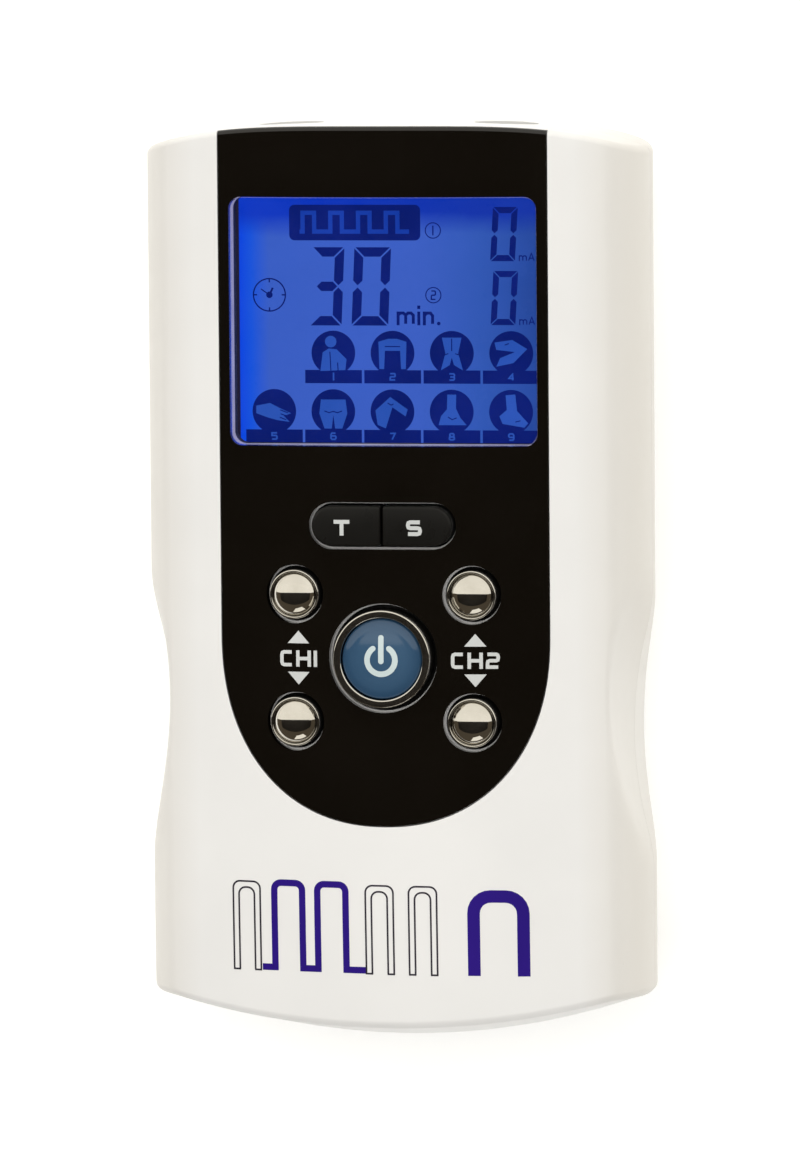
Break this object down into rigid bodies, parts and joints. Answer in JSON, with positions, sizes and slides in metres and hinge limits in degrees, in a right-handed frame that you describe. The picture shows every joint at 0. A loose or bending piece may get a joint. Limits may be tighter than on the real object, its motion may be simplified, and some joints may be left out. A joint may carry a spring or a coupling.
{
  "type": "tens unit",
  "caption": "Handheld two-channel nerve stimulator: waisted white case, black panel with back-lit display, domed plated keys, sliding battery door and sprung belt clip.",
  "frame": {"origin": "on the surface that the unit lies on (the outer face of its belt clip), on the middle line of the case, 58 mm from its top end", "axes": "+Z out of the front face, +Y to the end with the lead sockets, +X to the user's right"},
  "size_m": [0.065, 0.1178, 0.034],
  "materials": {
    "white_plastic": "satin",
    "black_gloss": "gloss",
    "clear_window": "gloss",
    "dark_key": "satin",
    "chrome": "polished",
    "blue_cap": "gloss",
    "lcd_blue": "gloss",
    "lcd_white": "satin",
    "silicone": "matte",
    "rubber": "matte",
    "board": "satin",
    "chip": "satin",
    "ferrite": "matte",
    "socket_black": "satin",
    "cell_jacket": "satin",
    "steel": "satin",
    "brass": "satin"
  },
  "bodies": {
    "case": {"front_shell": "white_plastic", "rear_shell": "white_plastic", "front_panel": "black_gloss", "display_window": "clear_window", "lcd_holder": "lcd_white", "lcd_glass": "lcd_blue", "backlight_guide": "lcd_white", "lcd_connector_strip": "rubber", "main_board": "board", "microcontroller": "chip", "reservoir_capacitor": "chip", "ch1_transformer": "ferrite", "ch2_transformer": "ferrite", "keypad": "silicone", "ch1_socket": "socket_black", "ch1_socket_pin": "brass", "ch2_socket": "socket_black", "ch2_socket_pin": "brass", "dc_jack": "socket_black", "dc_jack_pin": "brass", "cell_1": "cell_jacket", "cell_2": "cell_jacket", "cell_3": "cell_jacket", "cell_4": "cell_jacket", "contact_spring_1": "steel", "contact_spring_2": "steel", "contact_spring_3": "steel", "contact_spring_4": "steel", "contact_plus": "steel", "contact_minus": "steel", "contact_link_top": "steel", "contact_link_left": "steel", "contact_link_right": "steel", "clip_pin": "steel", "clip_spring": "steel", "clip_bracket": "steel", "bracket_screw_1": "steel", "bracket_screw_2": "steel", "case_screw_1": "steel", "case_screw_2": "steel", "case_screw_3": "steel", "case_screw_4": "steel", "board_screw_1": "steel", "board_screw_2": "steel"},
    "power_key": {"power_ring": "chrome", "power_cap": "blue_cap"},
    "battery_door": {"battery_door": "white_plastic"},
    "belt_clip": {"belt_clip": "white_plastic"},
    "ch1_up_button": {"ch1_up_button": "chrome"},
    "ch1_down_button": {"ch1_down_button": "chrome"},
    "ch2_up_button": {"ch2_up_button": "chrome"},
    "ch2_down_button": {"ch2_down_button": "chrome"},
    "timer_key": {"timer_key": "dark_key"},
    "select_key": {"select_key": "dark_key"}
  },
  "joints": [
    {"name": "ch1_up_press", "type": "slide", "parent": "case", "child": "ch1_up_button", "axis": [0, 0, -1], "range_m": [0, 0.001], "stiffness_N_per_m": 900, "springref_m": -0.0006, "deforming": ["keypad"]},
    {"name": "ch1_down_press", "type": "slide", "parent": "case", "child": "ch1_down_button", "axis": [0, 0, -1], "range_m": [0, 0.001], "stiffness_N_per_m": 900, "springref_m": -0.0006, "deforming": ["keypad"]},
    {"name": "ch2_up_press", "type": "slide", "parent": "case", "child": "ch2_up_button", "axis": [0, 0, -1], "range_m": [0, 0.001], "stiffness_N_per_m": 900, "springref_m": -0.0006, "deforming": ["keypad"]},
    {"name": "ch2_down_press", "type": "slide", "parent": "case", "child": "ch2_down_button", "axis": [0, 0, -1], "range_m": [0, 0.001], "stiffness_N_per_m": 900, "springref_m": -0.0006, "deforming": ["keypad"]},
    {"name": "power_press", "type": "slide", "parent": "case", "child": "power_key", "axis": [0, 0, -1], "range_m": [0, 0.001], "stiffness_N_per_m": 900, "springref_m": -0.0006, "deforming": ["keypad"]},
    {"name": "timer_press", "type": "slide", "parent": "case", "child": "timer_key", "axis": [0, 0, -1], "range_m": [0, 0.001], "stiffness_N_per_m": 900, "springref_m": -0.0006, "deforming": ["keypad"]},
    {"name": "select_press", "type": "slide", "parent": "case", "child": "select_key", "axis": [0, 0, -1], "range_m": [0, 0.001], "stiffness_N_per_m": 900, "springref_m": -0.0006, "deforming": ["keypad"]},
    {"name": "battery_door_slide", "type": "slide", "parent": "case", "child": "battery_door", "axis": [0, -1, 0], "range_m": [0, 0.055]},
    {"name": "belt_clip_hinge", "type": "hinge", "parent": "case", "child": "belt_clip", "pos_m": [0, 0.026, 0.0046], "axis": [1, 0, 0], "range_deg": [0, 15], "stiffness_Nm_per_rad": 0.4, "springref_deg": -20.05, "deforming": ["clip_spring"]}
  ]
}
